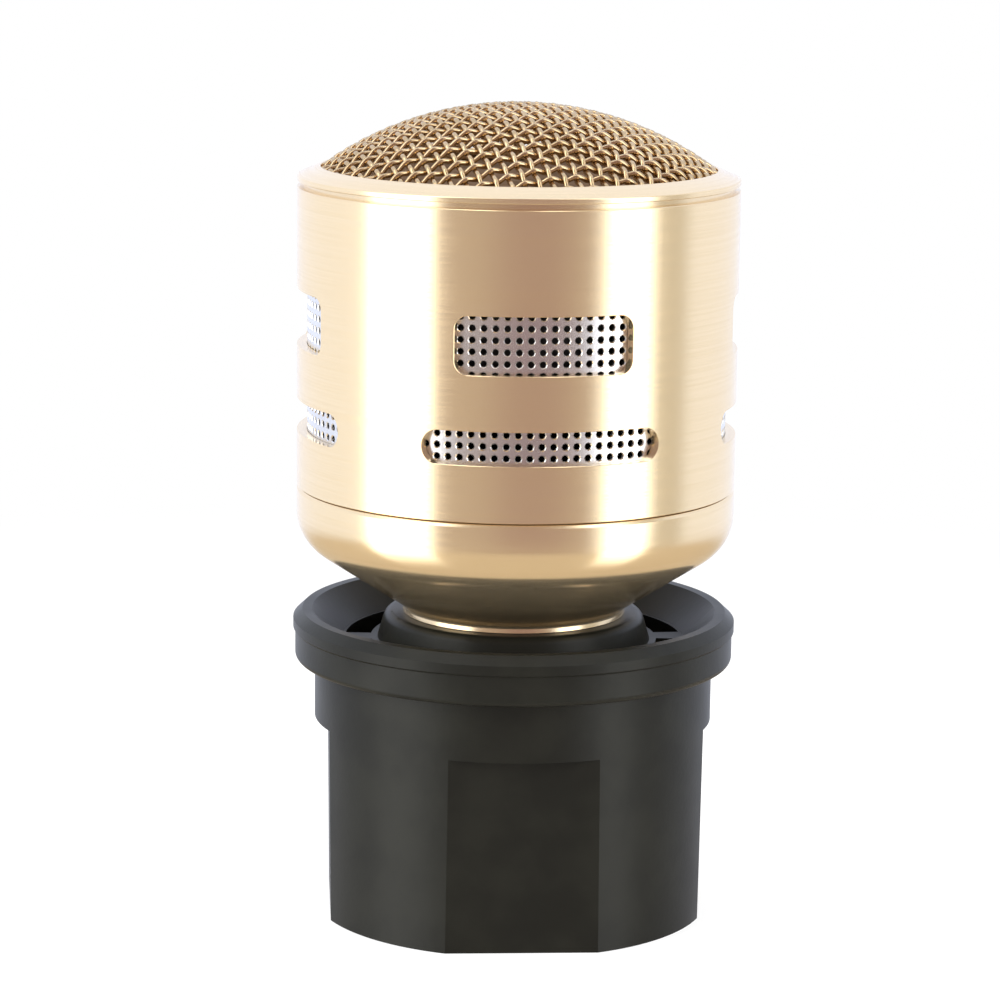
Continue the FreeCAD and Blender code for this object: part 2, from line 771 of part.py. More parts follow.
def capsule_frame():
    dish = film_seat - size("frame_dish")
    ledge = yoke_radius - size("frame_ledge")
    body = turned("capsule_frame", [
        (ledge, frame_foot),
        (frame_radius, frame_foot),
        (frame_radius, sleeve_top),
        (inside_shell, sleeve_top),
        (inside_shell, film_seat),
        (film_radius, film_seat),
        (film_radius, dish),
        (frame_bore, dish),
        (frame_bore, yoke_bottom),
        (ledge, yoke_bottom),
    ])
    port = new_sketch(body, "port_hole", "XY_Plane")
    circle(port, frame_radius + size("port_inset"), 0, size("port_radius"))
    first = pocket(body, "port", port, reverse=True)
    pattern(body, "ports", [first], size("port_count"))


def yoke():
    bore = yoke_radius - size("yoke_wall")
    turned("yoke", [
        (size("motor_bore"), yoke_bottom),
        (yoke_radius, yoke_bottom),
        (yoke_radius, yoke_top),
        (bore, yoke_top),
        (bore, magnet_bottom),
        (size("motor_bore"), magnet_bottom),
    ])


def rear_chamber():
    turned("rear_chamber", [
        (spigot_bore, roof_bottom),
        (chamber_bore, roof_bottom),
        (chamber_bore, board_top),
        (board_radius + fit, board_top),
        (board_radius + fit, chamber_bottom),
        (chamber_radius, chamber_bottom),
        (chamber_radius, nut_bottom),
        (spigot_bore, nut_bottom),
    ])


def terminal_board():
    body = disc("terminal_board", chamber_bottom, size("board_height"), board_radius)
    half_width, half_sheet = size("lug_width") / 2, size("lug_sheet") / 2
    slots = new_sketch(body, "lug_slots", "XY_Plane")
    for middle in (lug_place, -lug_place):
        outline(slots, [
            (middle - half_sheet, -half_width),
            (middle + half_sheet, -half_width),
            (middle + half_sheet, half_width),
            (middle - half_sheet, half_width),
        ])
    pocket(body, "lug_slots_cut", slots, reverse=True)


def plates(label, names, middle, sheet_start, width, bottom, height, hole=None):
    """Two flat tags that stand on either side of the axis, face to face."""
    pair = []
    for name, side in zip(names, (1, -1)):
        plate = primitive("Box", name, Length=middle, Width=width, Height=height)
        start = sheet_start if side > 0 else -(sheet_start + middle)
        place(plate, x=start, y=-(width / 2), z=bottom)
        if hole:
            drill = primitive("Cylinder", name + "_drill", Radius=hole, Height=middle * 2)
            drill.Placement.Rotation = FreeCAD.Rotation(FreeCAD.Vector(0, 1, 0), 90)
            place(drill, x=start - middle / 2, z=bottom + width)
            plate = cut(name + "_drilled", plate, drill)
        pair.append(plate)
    both = doc.addObject("Part::Compound", label + "_pair")
    both.Links = pair
    keep(label, both)


def lead_wire(label, side):
    """An inner lead from a tag on the frame, down through the neck to a lug."""
    at_frame = frame_radius + size("tag_sheet") + size("lead_radius")
    at_lug = lug_place + size("lug_sheet") / 2 + size("lead_radius")
    route = [
        (at_frame, tag_bottom + size("tag_height")),
        (at_frame, neck_top + size("lead_turn_high")),
        (at_lug, neck_top + size("lead_turn_low")),
        (at_lug, board_top),
    ]
    points = [FreeCAD.Vector(x.number * side, 0, z.number) for x, z in route]
    bend = size("lead_bend").number
    edges = []
    start = points[0]
    for before, corner, after in zip(points, points[1:], points[2:]):
        back = (before - corner).normalize()
        on = (after - corner).normalize()
        half = back.getAngle(on) / 2
        reach = bend / math.tan(half)
        middle = corner + (back + on).normalize() * (bend / math.sin(half) - bend)
        arc = Part.Arc(corner + back * reach, middle, corner + on * reach)
        edges += [Part.LineSegment(start, arc.StartPoint).toShape(), arc.toShape()]
        start = arc.EndPoint
    edges.append(Part.LineSegment(start, points[-1]).toShape())
    spine = doc.addObject("Part::Feature", label + "_route")
    spine.Shape = Part.Wire(edges)
    section = primitive("Circle", label + "_section", Radius=size("lead_radius"))
    place(section, x=at_frame * side, z=route[0][1])
    sweep = doc.addObject("Part::Sweep", label + "_sweep")
    sweep.Sections = [section]
    sweep.Spine = (spine, [f"Edge{number}" for number in range(1, len(edges) + 1)])
    sweep.Solid = True
    keep(label, sweep)


shock_mount()
lower_cup()
housing_gasket()
slotted_shell()
perforated_sleeve()
front_ring()
wire_mesh_dome()
disc("foam_disc", foam_bottom, size("foam_height"), disc_radius)
resonator_cap()
disc("diaphragm_ring", clamp_bottom, size("clamp_height"), disc_radius,
     disc_radius - size("clamp_width"))
diaphragm()
disc("voice_coil", film_seat - size("coil_length"), size("coil_length"), coil_outer,
     coil_inner)
disc("top_plate", yoke_top, size("plate_height"), yoke_radius, gap_radius)
disc("pole_piece", magnet_top, size("pole_height"), pole_radius, size("motor_bore"))
disc("magnet", magnet_bottom, size("magnet_height"), pole_radius - size("magnet_inset"),
     size("motor_bore"))
yoke()
capsule_frame()
disc("felt_ring", sleeve_top - size("felt_height"), size("felt_height"),
     inside_shell - size("felt_inset"), frame_radius + fit)
disc("lock_ring", nut_bottom, size("nut_height"), spigot_radius + size("nut_wall"),
     spigot_bore)
rear_chamber()
disc("chamber_foam", board_top, roof_bottom - board_top - size("wad_gap"),
     chamber_bore - fit, lug_place + size("wad_room"))
terminal_board()
plates("solder_terminals", ("lug_a", "lug_b"), size("lug_sheet"),
       lug_place - size("lug_sheet") / 2, size("lug_width"),
       chamber_bottom - size("lug_below"),
       size("lug_below") + size("board_height") + size("lug_above"), size("lug_hole"))
plates("coil_tags", ("tag_a", "tag_b"), size("tag_sheet"), frame_radius,
       size("tag_width"), tag_bottom, size("tag_height"))
lead_wire("lead_wire_a", 1)
lead_wire("lead_wire_b", -1)

doc.recompute()
for thing in doc.Objects:
    if "Invalid" in thing.State or "Error" in thing.State:
        raise RuntimeError(f"{thing.Name} failed: {thing.State}")
for label, piece in parts.items():
    if piece.Shape.isNull() or not piece.Shape.isValid():
        raise RuntimeError(label + " has no valid shape")

os.makedirs("parts", exist_ok=True)
for label, piece in parts.items():
    piece.Shape.exportStep(f"parts/{label}.step")
print(len(parts), "nodes written")
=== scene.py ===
import math
import bmesh
import bpy
from mathutils import Matrix, Vector


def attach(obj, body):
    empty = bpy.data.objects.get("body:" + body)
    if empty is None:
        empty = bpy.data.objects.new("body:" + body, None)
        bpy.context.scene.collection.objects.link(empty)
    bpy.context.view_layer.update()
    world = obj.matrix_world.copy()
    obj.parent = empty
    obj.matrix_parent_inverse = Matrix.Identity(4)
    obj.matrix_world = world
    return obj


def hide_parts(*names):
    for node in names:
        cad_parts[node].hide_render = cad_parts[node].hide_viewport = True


# Gold microphone capsule on its black shock mount. The scene is in metres.
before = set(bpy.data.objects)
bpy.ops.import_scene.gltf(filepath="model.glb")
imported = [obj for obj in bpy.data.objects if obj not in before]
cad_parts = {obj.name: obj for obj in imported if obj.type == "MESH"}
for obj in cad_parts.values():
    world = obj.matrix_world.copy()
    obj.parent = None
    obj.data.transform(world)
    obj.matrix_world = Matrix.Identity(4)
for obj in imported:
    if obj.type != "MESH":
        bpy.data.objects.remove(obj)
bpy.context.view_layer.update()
mm = 0.001
scene = bpy.context.scene
print("frame loaded:", len(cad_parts), "nodes")


# Small tools for meshes

# Corners are (radius, height, rounding), and a rounding of 0 keeps the corner sharp
def rounded(corners, steps=6):
    points = []
    for index, (x, z, rounding) in enumerate(corners):
        here = Vector((x, z))
        if not rounding:
            points.append(here)
            continue
        back = (Vector(corners[index - 1][:2]) - here).normalized()
        ahead = (Vector(corners[(index + 1) % len(corners)][:2]) - here).normalized()
        half = back.angle(ahead) / 2
        centre = here + (back + ahead).normalized() * (rounding / math.sin(half))
        first = here + back * (rounding / math.tan(half)) - centre
        last = here + ahead * (rounding / math.tan(half)) - centre
        sweep = first.angle_signed(last)
        for step in range(steps + 1):
            turn = Matrix.Rotation(-sweep * step / steps, 2)
            points.append(centre + turn @ first)
    return points


# A bmesh becomes a piece with closed seams and outward faces
def finishMesh(name, grid, sharpAngle=32):
    bmesh.ops.remove_doubles(grid, verts=grid.verts, dist=1e-7)
    bmesh.ops.recalc_face_normals(grid, faces=grid.faces)
    mesh = bpy.data.meshes.new(name)
    grid.to_mesh(mesh)
    grid.free()
    mesh.shade_smooth()
    mesh.set_sharp_from_angle(angle=math.radians(sharpAngle))
    piece = bpy.data.objects.new(name, mesh)
    scene.collection.objects.link(piece)
    return piece


def lathe(name, corners, segments=288):
    outline = rounded([(x * mm, z * mm, r * mm) for x, z, r in corners])
    grid = bmesh.new()
    rings = []
    for segment in range(segments):
        turn = 2 * math.pi * segment / segments
        rings.append([grid.verts.new((p.x * math.cos(turn), p.x * math.sin(turn), p.y))
                      for p in outline])
    for segment in range(segments):
        one, two = rings[segment], rings[(segment + 1) % segments]
        for index in range(len(outline)):
            after = (index + 1) % len(outline)
            grid.faces.new((one[index], two[index], two[after], one[after]))
    return finishMesh(name, grid)


# Small tools for node trees

class Tree:
    def __init__(self, tree):
        self.tree = tree

    def node(self, kind, **settings):
        made = self.tree.nodes.new(kind)
        for name, value in settings.items():
            setattr(made, name, value)
        return made

    def link(self, source, target):
        self.tree.links.new(source, target)

    # A socket is linked, and anything else becomes the target's own value
    def put(self, value, target):
        if isinstance(value, bpy.types.NodeSocket):
            self.link(value, target)
        elif value is not None:
            target.default_value = value

    def math(self, operation, *values, kind="ShaderNodeMath"):
        made = self.node(kind, operation=operation)
        for value, target in zip(values, made.inputs):
            self.put(value, target)
        return made.outputs[0]

    def split(self, vector):
        made = self.node("ShaderNodeSeparateXYZ")
        self.link(vector, made.inputs[0])
        return made.outputs

    def combine(self, x, y, z):
        made = self.node("ShaderNodeCombineXYZ")
        for value, target in zip((x, y, z), made.inputs):
            self.put(value, target)
        return made.outputs[0]

    def position(self):
        return self.node("GeometryNodeInputPosition").outputs[0]

    # 0 below low, 1 above high, and a soft step between them
    def smooth(self, value, low, high):
        made = self.node("ShaderNodeMapRange", interpolation_type="SMOOTHSTEP")
        self.put(value, made.inputs["Value"])
        self.put(low, made.inputs["From Min"])
        self.put(high, made.inputs["From Max"])
        return made.outputs["Result"]


def emptyMaterial(name):
    material = bpy.data.materials.new(name)
    material.use_nodes = True
    material.node_tree.nodes.clear()
    return material, Tree(material.node_tree)


def newMaterial(name):
    material, tree = emptyMaterial(name)
    shader = tree.node("ShaderNodeBsdfPrincipled")
    output = tree.node("ShaderNodeOutputMaterial")
    tree.link(shader.outputs[0], output.inputs["Surface"])
    return material, tree, shader


def effectGroup(name, inputs, outputs):
    group = bpy.data.node_groups.new(name, "ShaderNodeTree")
    for label, kind, default in inputs:
        socket = group.interface.new_socket(label, in_out="INPUT", socket_type=kind)
        socket.default_value = default
    for label, kind in outputs:
        group.interface.new_socket(label, in_out="OUTPUT", socket_type=kind)
    tree = Tree(group)
    return group, tree, tree.node("NodeGroupInput").outputs, tree.node("NodeGroupOutput").inputs


def useGroup(tree, group, **values):
    made = tree.node("ShaderNodeGroup")
    made.node_tree = group
    for label, value in values.items():
        tree.put(value, made.inputs[label])
    return made.outputs


# Effects that several finishes share

# Fine rings left by the tool on a turned surface, as a height and a mask
def turnedLinesGroup():
    group, tree, given, result = effectGroup("turned lines", [
        ("Rings", "NodeSocketFloat", 9000.0), ("Sweep", "NodeSocketFloat", 40.0)],
        [("Height", "NodeSocketFloat"), ("Mask", "NodeSocketFloat")])
    x, y, z = tree.split(tree.node("ShaderNodeTexCoord").outputs["Object"])
    radius = tree.math("SQRT", tree.math("ADD", tree.math("MULTIPLY", x, x),
                                         tree.math("MULTIPLY", y, y)))
    along = tree.math("MULTIPLY", tree.math("ADD", z, radius), given["Rings"])
    noise = tree.node("ShaderNodeTexNoise")
    tree.link(tree.combine(tree.math("MULTIPLY", x, given["Sweep"]),
                           tree.math("MULTIPLY", y, given["Sweep"]), along),
              noise.inputs["Vector"])
    noise.inputs["Scale"].default_value = 1.0
    noise.inputs["Detail"].default_value = 3.0
    noise.inputs["Roughness"].default_value = 0.6
    tree.link(noise.outputs[0], result["Height"])
    tree.link(tree.smooth(noise.outputs[0], 0.35, 0.7), result["Mask"])
    return group


# Fine irregular grain of a moulded, dusty or cast surface
def speckleGroup():
    group, tree, given, result = effectGroup("speckle", [
        ("Grain", "NodeSocketFloat", 4000.0), ("Patches", "NodeSocketFloat", 220.0)],
        [("Height", "NodeSocketFloat"), ("Patch", "NodeSocketFloat")])
    place = tree.node("ShaderNodeTexCoord").outputs["Object"]
    fine = tree.node("ShaderNodeTexNoise")
    tree.link(place, fine.inputs["Vector"])
    tree.link(given["Grain"], fine.inputs["Scale"])
    fine.inputs["Detail"].default_value = 2.0
    broad = tree.node("ShaderNodeTexNoise")
    tree.link(place, broad.inputs["Vector"])
    tree.link(given["Patches"], broad.inputs["Scale"])
    broad.inputs["Detail"].default_value = 4.0
    tree.link(fine.outputs[0], result["Height"])
    tree.link(broad.outputs[0], result["Patch"])
    return group


turnedLines = turnedLinesGroup()
speckle = speckleGroup()


# Finishes

# Each of the two colours may be three numbers or a socket
def mixed(tree, amount, first, second):
    made = tree.node("ShaderNodeMix", data_type="RGBA")
    tree.put(amount, made.inputs["Factor"])
    for colour, name in ((first, "A"), (second, "B")):
        tree.put((*colour, 1) if isinstance(colour, tuple) else colour, made.inputs[name])
    return made.outputs["Result"]


def ranged(tree, value, low, high):
    made = tree.node("ShaderNodeMapRange")
    tree.put(value, made.inputs["Value"])
    made.inputs["To Min"].default_value = low
    made.inputs["To Max"].default_value = high
    return made.outputs["Result"]


def bumped(tree, shader, height, strength, distance):
    bump = tree.node("ShaderNodeBump")
    bump.inputs["Strength"].default_value = strength
    bump.inputs["Distance"].default_value = distance
    tree.link(height, bump.inputs["Height"])
    tree.link(bump.outputs[0], shader.inputs["Normal"])


def turnedMetal(name, light, dark, roughness, rings=14000.0, strength=0.07, metallic=1.0,
                depth=0.00002):
    material, tree, shader = newMaterial(name)
    lines = useGroup(tree, turnedLines, Rings=rings)
    shader.inputs["Metallic"].default_value = metallic
    tree.link(mixed(tree, lines["Mask"], light, dark), shader.inputs["Base Color"])
    tree.link(ranged(tree, lines["Mask"], roughness * 0.85, roughness * 1.2),
              shader.inputs["Roughness"])
    bumped(tree, shader, lines["Height"], strength, depth)
    return material


def grained(name, light, dark, roughness, grain=4000.0, patches=220.0, strength=0.2, metallic=0.0,
            depth=0.00003, specular=0.5):
    material, tree, shader = newMaterial(name)
    marks = useGroup(tree, speckle, Grain=grain, Patches=patches)
    shader.inputs["Metallic"].default_value = metallic
    shader.inputs["Specular IOR Level"].default_value = specular
    tree.link(mixed(tree, tree.smooth(marks["Patch"], 0.35, 0.65), light, dark),
              shader.inputs["Base Color"])
    tree.link(ranged(tree, marks["Patch"], roughness * 0.88, roughness * 1.12),
              shader.inputs["Roughness"])
    bumped(tree, shader, marks["Height"], strength, depth)
    return material


finishes = {
    "gold_metal": turnedMetal("turned gold", (0.87, 0.69, 0.435), (0.845, 0.66, 0.405), 0.19,
                              metallic=0.91),
    "gold_wire": grained("gold wire", (0.66, 0.49, 0.29), (0.58, 0.42, 0.23), 0.24,
                         metallic=1.0, strength=0.1),
    "silver_sheet": grained("silver sheet", (0.80, 0.79, 0.77), (0.74, 0.73, 0.72), 0.26,
                            metallic=1.0, strength=0.08),
    "black_rubber": grained("black moulding", (0.0125, 0.0125, 0.0095), (0.009, 0.009, 0.007), 0.38,
                            grain=2600.0, specular=0.18),
    "dark_seal": grained("seal", (0.16, 0.09, 0.045), (0.11, 0.06, 0.03), 0.6),
    "dark_foam": grained("foam", (0.22, 0.14, 0.085), (0.15, 0.095, 0.055), 0.95,
                         grain=1800.0, strength=0.8),
    "inner_moulding": grained("inner moulding", (0.05, 0.045, 0.04), (0.035, 0.032, 0.03), 0.5),
    "clear_film": grained("film", (0.55, 0.52, 0.46), (0.45, 0.42, 0.38), 0.2),
    "copper_wire": turnedMetal("copper winding", (0.78, 0.36, 0.2), (0.6, 0.25, 0.13), 0.35,
                               rings=7000.0, strength=0.5),
    "soft_iron": turnedMetal("soft iron", (0.52, 0.51, 0.5), (0.44, 0.43, 0.42), 0.35),
    "magnet_metal": grained("magnet", (0.2, 0.2, 0.21), (0.15, 0.15, 0.16), 0.4, metallic=1.0),
    "felt": grained("felt", (0.09, 0.085, 0.08), (0.06, 0.056, 0.052), 1.0, grain=2500.0,
                    strength=0.9),
    "board": grained("board", (0.10, 0.055, 0.025), (0.08, 0.042, 0.02), 0.45),
    "tinned_brass": grained("tinned brass", (0.75, 0.73, 0.68), (0.66, 0.63, 0.57), 0.3,
                            metallic=1.0),
    "lead_red": grained("red lead", (0.5, 0.02, 0.015), (0.42, 0.016, 0.012), 0.4),
    "lead_black": grained("black lead", (0.02, 0.02, 0.02), (0.015, 0.015, 0.015), 0.4),
}
print("finishes made:", len(finishes))


def dress(piece, slot, *nodes):
    piece.data.materials.clear()
    piece.data.materials.append(finishes[slot])
    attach(piece, "root")
    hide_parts(*nodes)


# Turned gold housing, in millimetres: radii from the axis, heights from the mount's bottom

# The cone would meet the neck at neckTop, and the wall coneRise above that
cup = {
    "radius": 16.5, "corner": 3.6, "neckTop": 23.3, "neckRadius": 8.3, "coneRise": 5.34,
    "top": 32.53, "bevel": 0.24, "bevelDepth": 0.16, "bore": 5.6, "spigot": 7.0,
    "spigotFoot": 16.0, "collarTop": 22.8, "wall": 1.8, "floor": 1.45, "insideShell": 15.72,
    "spigotTop": 35.35, "neckRound": 0.3, "footFlare": 0.15,
}
# clocking is in degrees from the mount's flats, and step is the width of a strip in degrees
shell = {
    "radius": 16.5, "wall": 0.75, "bottom": 32.65, "top": 55.0, "edge": 0.04, "columns": 4,
    "clocking": 3.4, "upperWidth": 12.78, "upperHeight": 4.24, "upperMiddle": 45.37,
    "upperCorner": 1.0, "lowerWidth": 17.1, "lowerHeight": 2.46, "lowerMiddle": 38.01,
    "slotEdge": 0.03, "step": 1.25,
}
# The land is the narrow upright band between the groove and the bevel
ring = {
    "radius": 16.5, "bottom": 53.2, "shellTop": 55.0, "insideShell": 15.72, "root": 16.0,
    "landBottom": 55.44, "land": 0.39, "top": 56.55, "mouth": 14.75, "bore": 15.35, "lip": 0.45,
    "edge": 0.06,
}


def makeCup():
    slope = cup["coneRise"] / (cup["radius"] - cup["neckRadius"])
    bowl = cup["radius"] - cup["wall"]
    foot = cup["neckTop"] + cup["floor"] - cup["neckRadius"] * slope
    piece = lathe("lowerCup", [
        (cup["bore"], cup["spigotFoot"], 0),
        (cup["spigot"], cup["spigotFoot"], 0.1),
        (cup["spigot"], cup["collarTop"], 0),
        (cup["neckRadius"] + cup["footFlare"], cup["collarTop"], 0.04),
        (cup["neckRadius"], cup["neckTop"], cup["neckRound"]),
        (cup["radius"], cup["neckTop"] + cup["coneRise"], cup["corner"]),
        (cup["radius"], cup["top"] - cup["bevel"], 0.03),
        (cup["radius"] - cup["bevelDepth"], cup["top"], 0.02),
        (cup["insideShell"], cup["top"], 0),
        (cup["insideShell"], cup["spigotTop"], 0.05),
        (bowl, cup["spigotTop"], 0.05),
        (bowl, foot + bowl * slope, 0.4),
        (cup["bore"], foot + cup["bore"] * slope, 0.1),
    ])
    dress(piece, "gold_metal", "lower_cup")


def makeRing():
    piece = lathe("frontRing", [
        (ring["bore"], ring["bottom"], 0),
        (ring["insideShell"], ring["bottom"], 0.05),
        (ring["insideShell"], ring["shellTop"], 0),
        (ring["root"], ring["shellTop"], 0),
        (ring["root"], ring["landBottom"], 0),
        (ring["radius"], ring["landBottom"], ring["edge"]),
        (ring["radius"], ring["landBottom"] + ring["land"], 0.12),
        (ring["mouth"], ring["top"], 0.09),
        (ring["mouth"], ring["top"] - ring["lip"], 0.05),
        (ring["bore"], ring["top"] - ring["lip"], 0),
    ])
    dress(piece, "gold_metal", "front_ring")


# Points of a slot with round corners, grown all round, as (arc length, height)
def slotLoop(width, height, middle, corner, grow, steps=8):
    halfWidth, halfHeight = width / 2 - corner, height / 2 - corner
    points = []
    for quarter, (x, z) in enumerate(((1, -1), (1, 1), (-1, 1), (-1, -1))):
        for step in range(steps + 1):
            turn = math.pi / 2 * (quarter - 1 + step / steps)
            points.append((x * halfWidth + (corner + grow) * math.cos(turn),
                           middle + z * halfHeight + (corner + grow) * math.sin(turn)))
    clean = [points[0]]
    for point in points[1:]:
        if math.dist(point, clean[-1]) > 1e-6:
            clean.append(point)
    if math.dist(clean[0], clean[-1]) < 1e-6:
        clean.pop()
    return clean


# How far a slot's outline reaches above its middle at x; past its ends, its end's reach
def slotReach(loop, middle, x):
    upper = sorted((abs(place), middle - z) for place, z in loop if z >= middle - 1e-9)
    for (x0, z0), (x1, z1) in zip([(0, upper[0][1])] + upper, upper):
        if x0 <= abs(x) <= x1 and x1 - x0 > 1e-9:
            return -(z0 + (z1 - z0) * (abs(x) - x0) / (x1 - x0))
    widest = upper[-1][0]
    return max(-z for place, z in upper if widest - place < 1e-9)


# The tube is laid out flat as narrow upright strips, slots left open, then rolled up.
# It stays in millimetres until it is rolled.
def makeShell():
    radius, edge, slotEdge = shell["radius"], shell["edge"], shell["slotEdge"]
    quarter = 2 * math.pi * radius / shell["columns"]
    upperArc = 2 * radius * math.asin(shell["upperWidth"] / 2 / radius)
    lowerArc = 2 * radius * math.asin(shell["lowerWidth"] / 2 / radius)
    slots = [
        (lowerArc, shell["lowerHeight"], shell["lowerMiddle"], shell["lowerHeight"] / 2),
        (upperArc, shell["upperHeight"], shell["upperMiddle"], shell["upperCorner"]),
    ]
    plain = [slotLoop(*slot, 0) for slot in slots]
    grown = [slotLoop(*slot, slotEdge) for slot in slots]
    slices = round(360 / shell["columns"] / shell["step"])
    stations = [quarter * (number / slices - 0.5) for number in range(slices + 1)]
    stations += [x for loop in plain + grown for x, _ in loop]
    stations.sort()
    stations = [x for i, x in enumerate(stations) if not i or x - stations[i - 1] > 1e-6]
    grid = bmesh.new()

    # Quads between two loops of the same number of points
    def band(loopA, depthA, loopB, depthB, closed=True):
        one = [grid.verts.new((x, depthA, z)) for x, z in loopA]
        two = [grid.verts.new((x, depthB, z)) for x, z in loopB]
        for i in range(len(one) if closed else len(one) - 1):
            after = (i + 1) % len(one)
            grid.faces.new((one[i], one[after], two[after], two[i]))

    def sheet(depth, low, high, loops):
        for x0, x1 in zip(stations, stations[1:]):
            columns = []
            for x in (x0, x1):
                heights = [low]
                for loop, slot in zip(loops, slots):
                    reach = slotReach(loop, slot[2], x)
                    heights += [slot[2] - reach, slot[2] + reach]
                columns.append([grid.verts.new((x, depth, z)) for z in heights + [high]])
            solid = [True]
            for loop, slot in zip(loops, slots):
                solid += [abs(x0 + x1) / 2 > max(x for x, _ in loop), True]
            for number, filled in enumerate(solid):
                corners = [columns[0][number], columns[1][number], columns[1][number + 1],
                           columns[0][number + 1]]
                if filled and corners[0].co.z < corners[3].co.z - 1e-7:
                    grid.faces.new(corners)

    low, high = shell["bottom"], shell["top"]
    for inner, outer in zip(plain, grown):
        band(outer, 0, inner, slotEdge)
        band(inner, slotEdge, inner, shell["wall"])
    ends = (-quarter / 2, quarter / 2)
    for rim, inward in ((low, edge), (high, -edge)):
        band([(x, rim + inward) for x in ends], 0, [(x, rim) for x in ends], edge, False)
        band([(x, rim) for x in ends], edge, [(x, rim) for x in ends], shell["wall"], False)
    for x in stations[1:-1]:  # walls and rims get the strips' edges too, so that all seams meet
        bmesh.ops.bisect_plane(grid, geom=grid.verts[:] + grid.edges[:] + grid.faces[:],
                               plane_co=(x, 0, 0), plane_no=(1, 0, 0), dist=1e-5)
    sheet(0, low + edge, high - edge, grown)
    sheet(shell["wall"], low, high, plain)
    bmesh.ops.remove_doubles(grid, verts=grid.verts, dist=2e-5)
    whole = bmesh.new()
    for column in range(shell["columns"]):
        copies = {}
        start = math.radians(shell["clocking"] - 90 + 360 * column / shell["columns"])
        for vert in grid.verts:
            turn = start + vert.co.x / radius
            reach = (radius - vert.co.y) * mm
            copies[vert] = whole.verts.new((reach * math.cos(turn), reach * math.sin(turn),
                                            vert.co.z * mm))
        for face in grid.faces:
            whole.faces.new([copies[v] for v in face.verts])
    grid.free()
    piece = finishMesh("slottedShell", whole)
    dress(piece, "gold_metal", "slotted_shell")


makeCup()
makeShell()
makeRing()
print("gold housing turned")


# Geometry Nodes pieces

# A Geometry Nodes tree with a named input for each size
def growTree(name, inputs):
    group = bpy.data.node_groups.new(name, "GeometryNodeTree")
    group.interface.new_socket("Geometry", in_out="INPUT", socket_type="NodeSocketGeometry")
    group.interface.new_socket("Geometry", in_out="OUTPUT", socket_type="NodeSocketGeometry")
    for label, value in inputs.items():
        kind = "NodeSocketInt" if isinstance(value, int) else "NodeSocketFloat"
        group.interface.new_socket(label, in_out="INPUT", socket_type=kind)
    tree = Tree(group)
    given = tree.node("NodeGroupInput").outputs
    result = tree.node("NodeGroupOutput").inputs
    return group, tree, given, result


# Run the tree on an empty mesh and keep what it makes as a plain mesh
def grow(name, group, inputs):
    carrier = bpy.data.objects.new(name + " carrier", bpy.data.meshes.new(name + " seed"))
    scene.collection.objects.link(carrier)
    modifier = carrier.modifiers.new(name, "NODES")
    modifier.node_group = group
    for item in group.interface.items_tree:
        if item.in_out == "INPUT" and item.name in inputs:
            modifier[item.identifier] = inputs[item.name]
    carrier.update_tag()
    ready = carrier.evaluated_get(bpy.context.evaluated_depsgraph_get())
    mesh = bpy.data.meshes.new_from_object(ready)
    mesh.name = name
    bpy.data.objects.remove(carrier)
    piece = bpy.data.objects.new(name, mesh)
    scene.collection.objects.link(piece)
    print(name, "grown:", sum(len(p.vertices) - 2 for p in mesh.polygons), "triangles")
    return piece


domeForm = {"rise": 4.75, "radius": 14.65, "sink": 0.37}  # sink: half the weave's thickness
ballRadius = (domeForm["radius"] ** 2 + domeForm["rise"] ** 2) / (2 * domeForm["rise"])
# Wave is how far a wire swings off the ball, Ball the ball's radius and Crown its top
weave = {
    "Wires": 31, "Pitch": 0.96 * mm, "Wire": 0.19 * mm, "Wave": 0.18 * mm, "Reach": 14.72 * mm,
    "Ball": (ballRadius - domeForm["sink"]) * mm,
    "Crown": (ring["top"] + domeForm["rise"] - domeForm["sink"]) * mm,
    "Turn": math.radians(14), "Points": 125, "Sides": 8,
}


